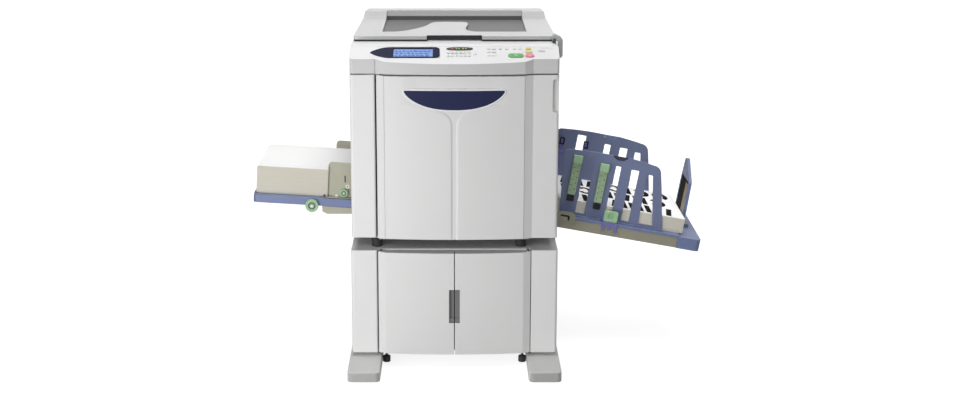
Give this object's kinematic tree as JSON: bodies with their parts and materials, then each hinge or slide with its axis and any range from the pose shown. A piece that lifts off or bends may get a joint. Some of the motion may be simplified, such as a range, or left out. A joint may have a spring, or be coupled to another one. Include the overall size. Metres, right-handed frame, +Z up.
{
  "type": "digital duplicator",
  "caption": "Digital duplicator on a two-door cabinet, with feed tray, receiving tray with side fences, scanner lid and control panel.",
  "frame": {"origin": "On the floor, under the middle of the whole machine with both trays in place.", "axes": "+X to the right of someone who stands at the control panel, towards the receiving tray; +Y to the back; +Z up."},
  "size_m": [1.4084, 0.814, 1.035],
  "materials": {
    "cabinet_paint": "fine matt powder coat, warm grey-white",
    "cover_white": "fine-grained moulded covers, warm grey-white",
    "panel_white": "smooth moulded panel, cool grey-white",
    "lid_white": "moulded lid, dark grey tinted well floor",
    "foot_grey": "matt light grey",
    "steel": "zinc plated sheet and bright bars",
    "black_rubber": "matt",
    "black_plastic": "fine grain",
    "dark_paint": "satin",
    "navy_gloss": "polished crescent plate",
    "bezel_dark": "polished dark blue",
    "display_blue": "lit display glass",
    "platen_glass": "clear float glass",
    "key_white": "satin keys",
    "key_green": "lit start key",
    "key_red": "stop key",
    "key_yellow": "reset keys",
    "lever_grey": "fine grain",
    "pad_white": "white reflecting sheet on foam",
    "tray_blue": "fine-grained lavender blue",
    "fence_blue": "fine-grained grey blue",
    "bracket_beige": "satin beige",
    "soft_green": "fine-grained pale green",
    "paper": "uncoated, edges slightly warm",
    "drum_screen": "fine woven steel screen",
    "film_grey": "smooth master film"
  },
  "bodies": {
    "root": {"cabinet_panels": "cabinet_paint", "hinge_pins": "steel", "stabiliser_feet": "foot_grey", "levelling_adjusters": "black_plastic", "rubber_feet": "black_rubber", "frame_plates": "steel", "front_column": "cover_white", "side_cover_left": "cover_white", "side_cover_right": "cover_white", "rear_cover": "cover_white", "power_inlet": "black_plastic", "power_supply": "steel", "guide_rails": "steel", "master_unit": "dark_paint", "main_motor": "dark_paint", "suction_unit": "dark_paint", "feed_paper_stack": "paper", "receiving_tray": "tray_blue", "tray_rails": "bracket_beige", "printed_stack": "paper"},
    "door_left": {"cabinet_door_left": "cabinet_paint"},
    "door_right": {"cabinet_door_right": "cabinet_paint"},
    "front_cover": {"front_cover": "cover_white", "emblem_plate": "navy_gloss"},
    "power_switch": {"power_switch": "black_plastic"},
    "drum_unit": {"drum_carriage": "dark_paint"},
    "print_drum": {"print_drum": "drum_screen"},
    "ink_cartridge": {"ink_cartridge": "black_plastic"},
    "pressure_roller": {"pressure_roller": "black_rubber"},
    "pickup_roller": {"pickup_roller": "black_rubber"},
    "timing_roller": {"timing_roller": "steel"},
    "master_roll": {"master_roll": "film_grey"},
    "master_disposal_box": {"master_disposal_box": "lever_grey"},
    "scanner_table": {"scanner_housing": "panel_white", "scanner_glass": "platen_glass", "scan_rails": "steel", "control_panel": "panel_white", "display_bezel": "bezel_dark", "display": "display_blue", "table_hinges": "dark_paint"},
    "scan_carriage": {"scan_carriage": "dark_paint"},
    "number_keys": {"number_keys": "key_white"},
    "function_keys": {"function_keys": "key_white"},
    "start_key": {"start_key": "key_green"},
    "stop_key": {"stop_key": "key_red"},
    "reset_keys": {"reset_keys": "key_yellow"},
    "release_lever": {"release_lever": "lever_grey"},
    "lid": {"lid": "lid_white", "lid_pad": "pad_white"},
    "feed_lift": {"feed_tray": "tray_blue", "feed_arms": "bracket_beige"},
    "feed_guide_front": {"feed_guide_front": "bracket_beige"},
    "feed_guide_rear": {"feed_guide_rear": "bracket_beige"},
    "guide_lock_knob": {"guide_lock_knob": "soft_green"},
    "position_dial": {"position_dial": "soft_green"},
    "wing_front": {"wing_front": "fence_blue"},
    "wing_rear": {"wing_rear": "fence_blue"},
    "arrangers": {"arrangers_front": "soft_green"},
    "fence_lock": {"fence_lock": "soft_green"},
    "end_stop": {"end_stop": "fence_blue"}
  },
  "joints": [
    {"name": "door_left_hinge", "type": "hinge", "parent": "root", "child": "door_left", "pos_m": [-0.29832, -0.259, 0.2], "axis": [0, 0, -1], "range_deg": [0, 110]},
    {"name": "door_right_hinge", "type": "hinge", "parent": "root", "child": "door_right", "pos_m": [0.15168, -0.259, 0.2], "axis": [0, 0, 1], "range_deg": [0, 110]},
    {"name": "front_cover_hinge", "type": "hinge", "parent": "root", "child": "front_cover", "pos_m": [-0.29832, -0.259, 0.66], "axis": [0, 0, -1], "range_deg": [0, 110]},
    {"name": "drum_unit_slide", "type": "slide", "parent": "root", "child": "drum_unit", "axis": [0, -1, 0], "range_m": [0, 0.25]},
    {"name": "print_drum_spin", "type": "hinge", "parent": "drum_unit", "child": "print_drum", "pos_m": [-0.08332, -0.179, 0.717], "axis": [0, 1, 0], "continuous": true},
    {"name": "ink_cartridge_slide", "type": "slide", "parent": "drum_unit", "child": "ink_cartridge", "axis": [0, -1, 0], "range_m": [0, 0.15]},
    {"name": "pressure_roller_spin", "type": "hinge", "parent": "root", "child": "pressure_roller", "pos_m": [-0.08332, -0.179, 0.5997], "axis": [0, 1, 0], "continuous": true},
    {"name": "pickup_roller_spin", "type": "hinge", "parent": "root", "child": "pickup_roller", "pos_m": [-0.28832, -0.179, 0.59435], "axis": [0, 1, 0], "continuous": true},
    {"name": "timing_roller_spin", "type": "hinge", "parent": "root", "child": "timing_roller", "pos_m": [-0.20132, -0.179, 0.6077], "axis": [0, 1, 0], "continuous": true},
    {"name": "master_roll_spin", "type": "hinge", "parent": "root", "child": "master_roll", "pos_m": [0.14168, -0.179, 0.845], "axis": [0, 1, 0], "continuous": true},
    {"name": "master_box_slide", "type": "slide", "parent": "root", "child": "master_disposal_box", "axis": [-1, 0, 0], "range_m": [0, 0.2]},
    {"name": "power_switch_tip", "type": "hinge", "parent": "root", "child": "power_switch", "pos_m": [0.23618, 0.318, 0.48], "axis": [0, 1, 0], "range_deg": [-5, 5]},
    {"name": "scanner_table_slide", "type": "slide", "parent": "root", "child": "scanner_table", "axis": [-1, 0, 0], "range_m": [0, 0.2]},
    {"name": "lid_hinge", "type": "hinge", "parent": "scanner_table", "child": "lid", "pos_m": [-0.07332, 0.395, 1.004], "axis": [-1, 0, 0], "range_deg": [0, 65]},
    {"name": "scan_carriage_slide", "type": "slide", "parent": "scanner_table", "child": "scan_carriage", "axis": [1, 0, 0], "range_m": [0, 0.38]},
    {"name": "number_keys_press", "type": "slide", "parent": "scanner_table", "child": "number_keys", "axis": [0, 0.4008, -0.9162], "range_m": [0, 0.001], "stiffness_N_per_m": 2000},
    {"name": "function_keys_press", "type": "slide", "parent": "scanner_table", "child": "function_keys", "axis": [0, 0.4008, -0.9162], "range_m": [0, 0.001], "stiffness_N_per_m": 2000},
    {"name": "start_key_press", "type": "slide", "parent": "scanner_table", "child": "start_key", "axis": [0, 0.4008, -0.9162], "range_m": [0, 0.001], "stiffness_N_per_m": 2000},
    {"name": "stop_key_press", "type": "slide", "parent": "scanner_table", "child": "stop_key", "axis": [0, 0.4008, -0.9162], "range_m": [0, 0.001], "stiffness_N_per_m": 2000},
    {"name": "reset_keys_press", "type": "slide", "parent": "scanner_table", "child": "reset_keys", "axis": [0, 0.4008, -0.9162], "range_m": [0, 0.001], "stiffness_N_per_m": 2000},
    {"name": "release_lever_pull", "type": "hinge", "parent": "scanner_table", "child": "release_lever", "pos_m": [0.23168, -0.117, 1.001], "axis": [0, -1, 0], "range_deg": [0, 12], "stiffness_Nm_per_rad": 2},
    {"name": "feed_lift", "type": "slide", "parent": "root", "child": "feed_lift", "axis": [0, 0, 1], "range_m": [0, 0.06], "deforming": ["feed_paper_stack"]},
    {"name": "feed_guide_front_slide", "type": "slide", "parent": "feed_lift", "child": "feed_guide_front", "axis": [0, -1, 0], "range_m": [0, 0.02]},
    {"name": "feed_guide_rear_slide", "type": "slide", "parent": "feed_lift", "child": "feed_guide_rear", "axis": [0, 1, 0], "range_m": [0, 0.02]},
    {"name": "guide_lock_turn", "type": "hinge", "parent": "feed_guide_front", "child": "guide_lock_knob", "pos_m": [-0.42032, -0.102, 0.512], "axis": [0, 1, 0], "range_deg": [0, 90]},
    {"name": "position_dial_turn", "type": "hinge", "parent": "feed_lift", "child": "position_dial", "pos_m": [-0.51932, -0.125, 0.478], "axis": [0, 1, 0], "range_deg": [-90, 90]},
    {"name": "wing_front_slide", "type": "slide", "parent": "root", "child": "wing_front", "axis": [0, -1, 0], "range_m": [0, 0.015]},
    {"name": "wing_rear_slide", "type": "slide", "parent": "root", "child": "wing_rear", "axis": [0, 1, 0], "range_m": [0, 0.015]},
    {"name": "arrangers_slide", "type": "slide", "parent": "wing_front", "child": "arrangers", "axis": [0.1771, 0, 0.9842], "range_m": [-0.02, 0.01]},
    {"name": "fence_lock_tilt", "type": "hinge", "parent": "wing_front", "child": "fence_lock", "pos_m": [0.4158, -0.111, 0.42623], "axis": [0.9842, 0, -0.1771], "range_deg": [0, 30]},
    {"name": "end_stop_slide", "type": "slide", "parent": "root", "child": "end_stop", "axis": [0.9842, 0, -0.1771], "range_m": [0, 0.02]}
  ],
  "couplings": [
    {"joint": "drum_unit_slide", "follows": "front_cover_hinge", "m_per_rad": 0.13022},
    {"joint": "ink_cartridge_slide", "follows": "front_cover_hinge", "m_per_rad": 0.07813},
    {"joint": "pressure_roller_spin", "follows": "print_drum_spin", "ratio": -4.3182},
    {"joint": "feed_guide_rear_slide", "follows": "feed_guide_front_slide", "ratio": 1},
    {"joint": "wing_rear_slide", "follows": "wing_front_slide", "ratio": 1}
  ]
}
